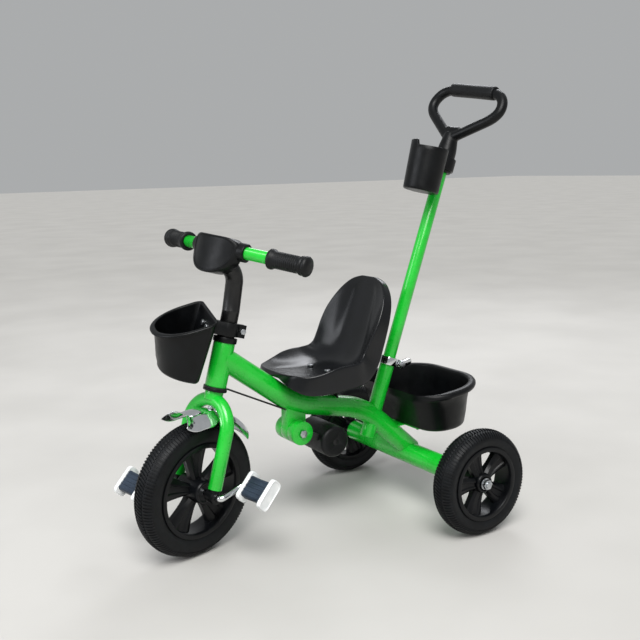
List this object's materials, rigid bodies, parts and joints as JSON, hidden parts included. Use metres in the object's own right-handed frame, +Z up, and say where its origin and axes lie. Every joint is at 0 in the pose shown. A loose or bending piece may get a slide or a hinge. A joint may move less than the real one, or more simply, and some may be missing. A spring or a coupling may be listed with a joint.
{
  "type": "toddler trike with a push bar",
  "caption": "Toddler pedal trike with a steered front wheel, bucket seat, front basket, rear tub, folding footrest and a leaning push bar with a ring handle and cup holder.",
  "frame": {"origin": "middle of the bounding box on the floor", "axes": "+X forward, +Y to the rider's left, +Z up"},
  "size_m": [0.804, 0.5062, 0.8671],
  "materials": {
    "green_paint": "gloss",
    "black_plastic": "gloss",
    "black_paint": "satin",
    "wheel_plastic": "satin",
    "tyre_foam": "matte",
    "grip_rubber": "matte",
    "chrome": "polished",
    "steel": "satin",
    "white_plastic": "gloss",
    "slate_plastic": "satin"
  },
  "bodies": {
    "frame": {"head_tube": "green_paint", "main_tube": "green_paint", "cross_tube": "green_paint", "axle_bushings": "black_plastic", "push_bar_socket": "green_paint", "seat_bracket": "black_paint", "tub_bracket": "green_paint", "footrest_bracket": "green_paint", "footrest_pin": "steel", "headset_lower": "black_plastic", "headset_upper": "black_plastic", "stop_plate": "black_paint", "seat": "black_plastic", "seat_screws": "steel", "rear_tub": "black_plastic", "tub_screws": "steel", "rear_axle": "steel", "rear_axle_nuts": "steel", "clamp_collar": "chrome", "clamp_bolt": "steel"},
    "steering": {"fork": "green_paint", "fork_bearings": "black_plastic", "mudguard": "chrome", "mudguard_bolt": "steel", "stem": "black_paint", "handlebar": "green_paint", "handlebar_cover": "black_plastic", "left_grip": "grip_rubber", "right_grip": "grip_rubber", "front_basket": "black_plastic", "basket_clamp": "black_plastic", "clamp_screws": "steel"},
    "front_wheel": {"front_rim": "wheel_plastic", "front_tyre": "tyre_foam", "crank": "chrome"},
    "left_pedal_body": {"left_pedal": "slate_plastic", "left_pedal_caps": "white_plastic"},
    "right_pedal_body": {"right_pedal": "slate_plastic", "right_pedal_caps": "white_plastic"},
    "rear_left_wheel": {"rear_left_rim": "wheel_plastic", "rear_left_tyre": "tyre_foam"},
    "rear_right_wheel": {"rear_right_rim": "wheel_plastic", "rear_right_tyre": "tyre_foam"},
    "push_bar": {"push_pole": "green_paint", "push_handle": "black_plastic", "handle_sleeve": "grip_rubber", "cup_holder": "black_plastic", "neck_screw": "steel"},
    "clamp_lever_body": {"clamp_lever": "chrome"},
    "footrest": {"footrest_barrel": "green_paint", "footrest_arm": "black_paint", "foot_roller": "wheel_plastic"}
  },
  "joints": [
    {"name": "steering_turn", "type": "hinge", "parent": "frame", "child": "steering", "pos_m": [0.27826, 0, 0.127], "axis": [-0.2639, 0, 0.9646], "range_deg": [-60, 30]},
    {"name": "front_wheel_spin", "type": "hinge", "parent": "steering", "child": "front_wheel", "pos_m": [0.27826, 0, 0.127], "axis": [-0.2578, 0.9636, -0.0705], "continuous": true},
    {"name": "left_pedal_spin", "type": "hinge", "parent": "front_wheel", "child": "left_pedal_body", "pos_m": [0.20036, 0.09903, 0.13426], "axis": [-0.2578, 0.9636, -0.0705], "continuous": true},
    {"name": "right_pedal_spin", "type": "hinge", "parent": "front_wheel", "child": "right_pedal_body", "pos_m": [0.35616, -0.09903, 0.11974], "axis": [-0.2578, 0.9636, -0.0705], "continuous": true},
    {"name": "rear_left_wheel_spin", "type": "hinge", "parent": "frame", "child": "rear_left_wheel", "pos_m": [-0.20834, 0.2234, 0.1023], "axis": [0, 1, 0], "continuous": true},
    {"name": "rear_right_wheel_spin", "type": "hinge", "parent": "frame", "child": "rear_right_wheel", "pos_m": [-0.20834, -0.2234, 0.1023], "axis": [0, 1, 0], "continuous": true},
    {"name": "push_bar_slide", "type": "slide", "parent": "frame", "child": "push_bar", "axis": [-0.3453, 0, 0.9385], "range_m": [0, 0.05]},
    {"name": "clamp_lever_turn", "type": "hinge", "parent": "frame", "child": "clamp_lever_body", "pos_m": [-0.18745, 0.00529, 0.29534], "axis": [0.1306, -0.9903, 0.0481], "range_deg": [0, 90]},
    {"name": "footrest_fold", "type": "hinge", "parent": "frame", "child": "footrest", "pos_m": [0.06566, 0, 0.199], "axis": [0, -1, 0], "range_deg": [0, 100]}
  ]
}
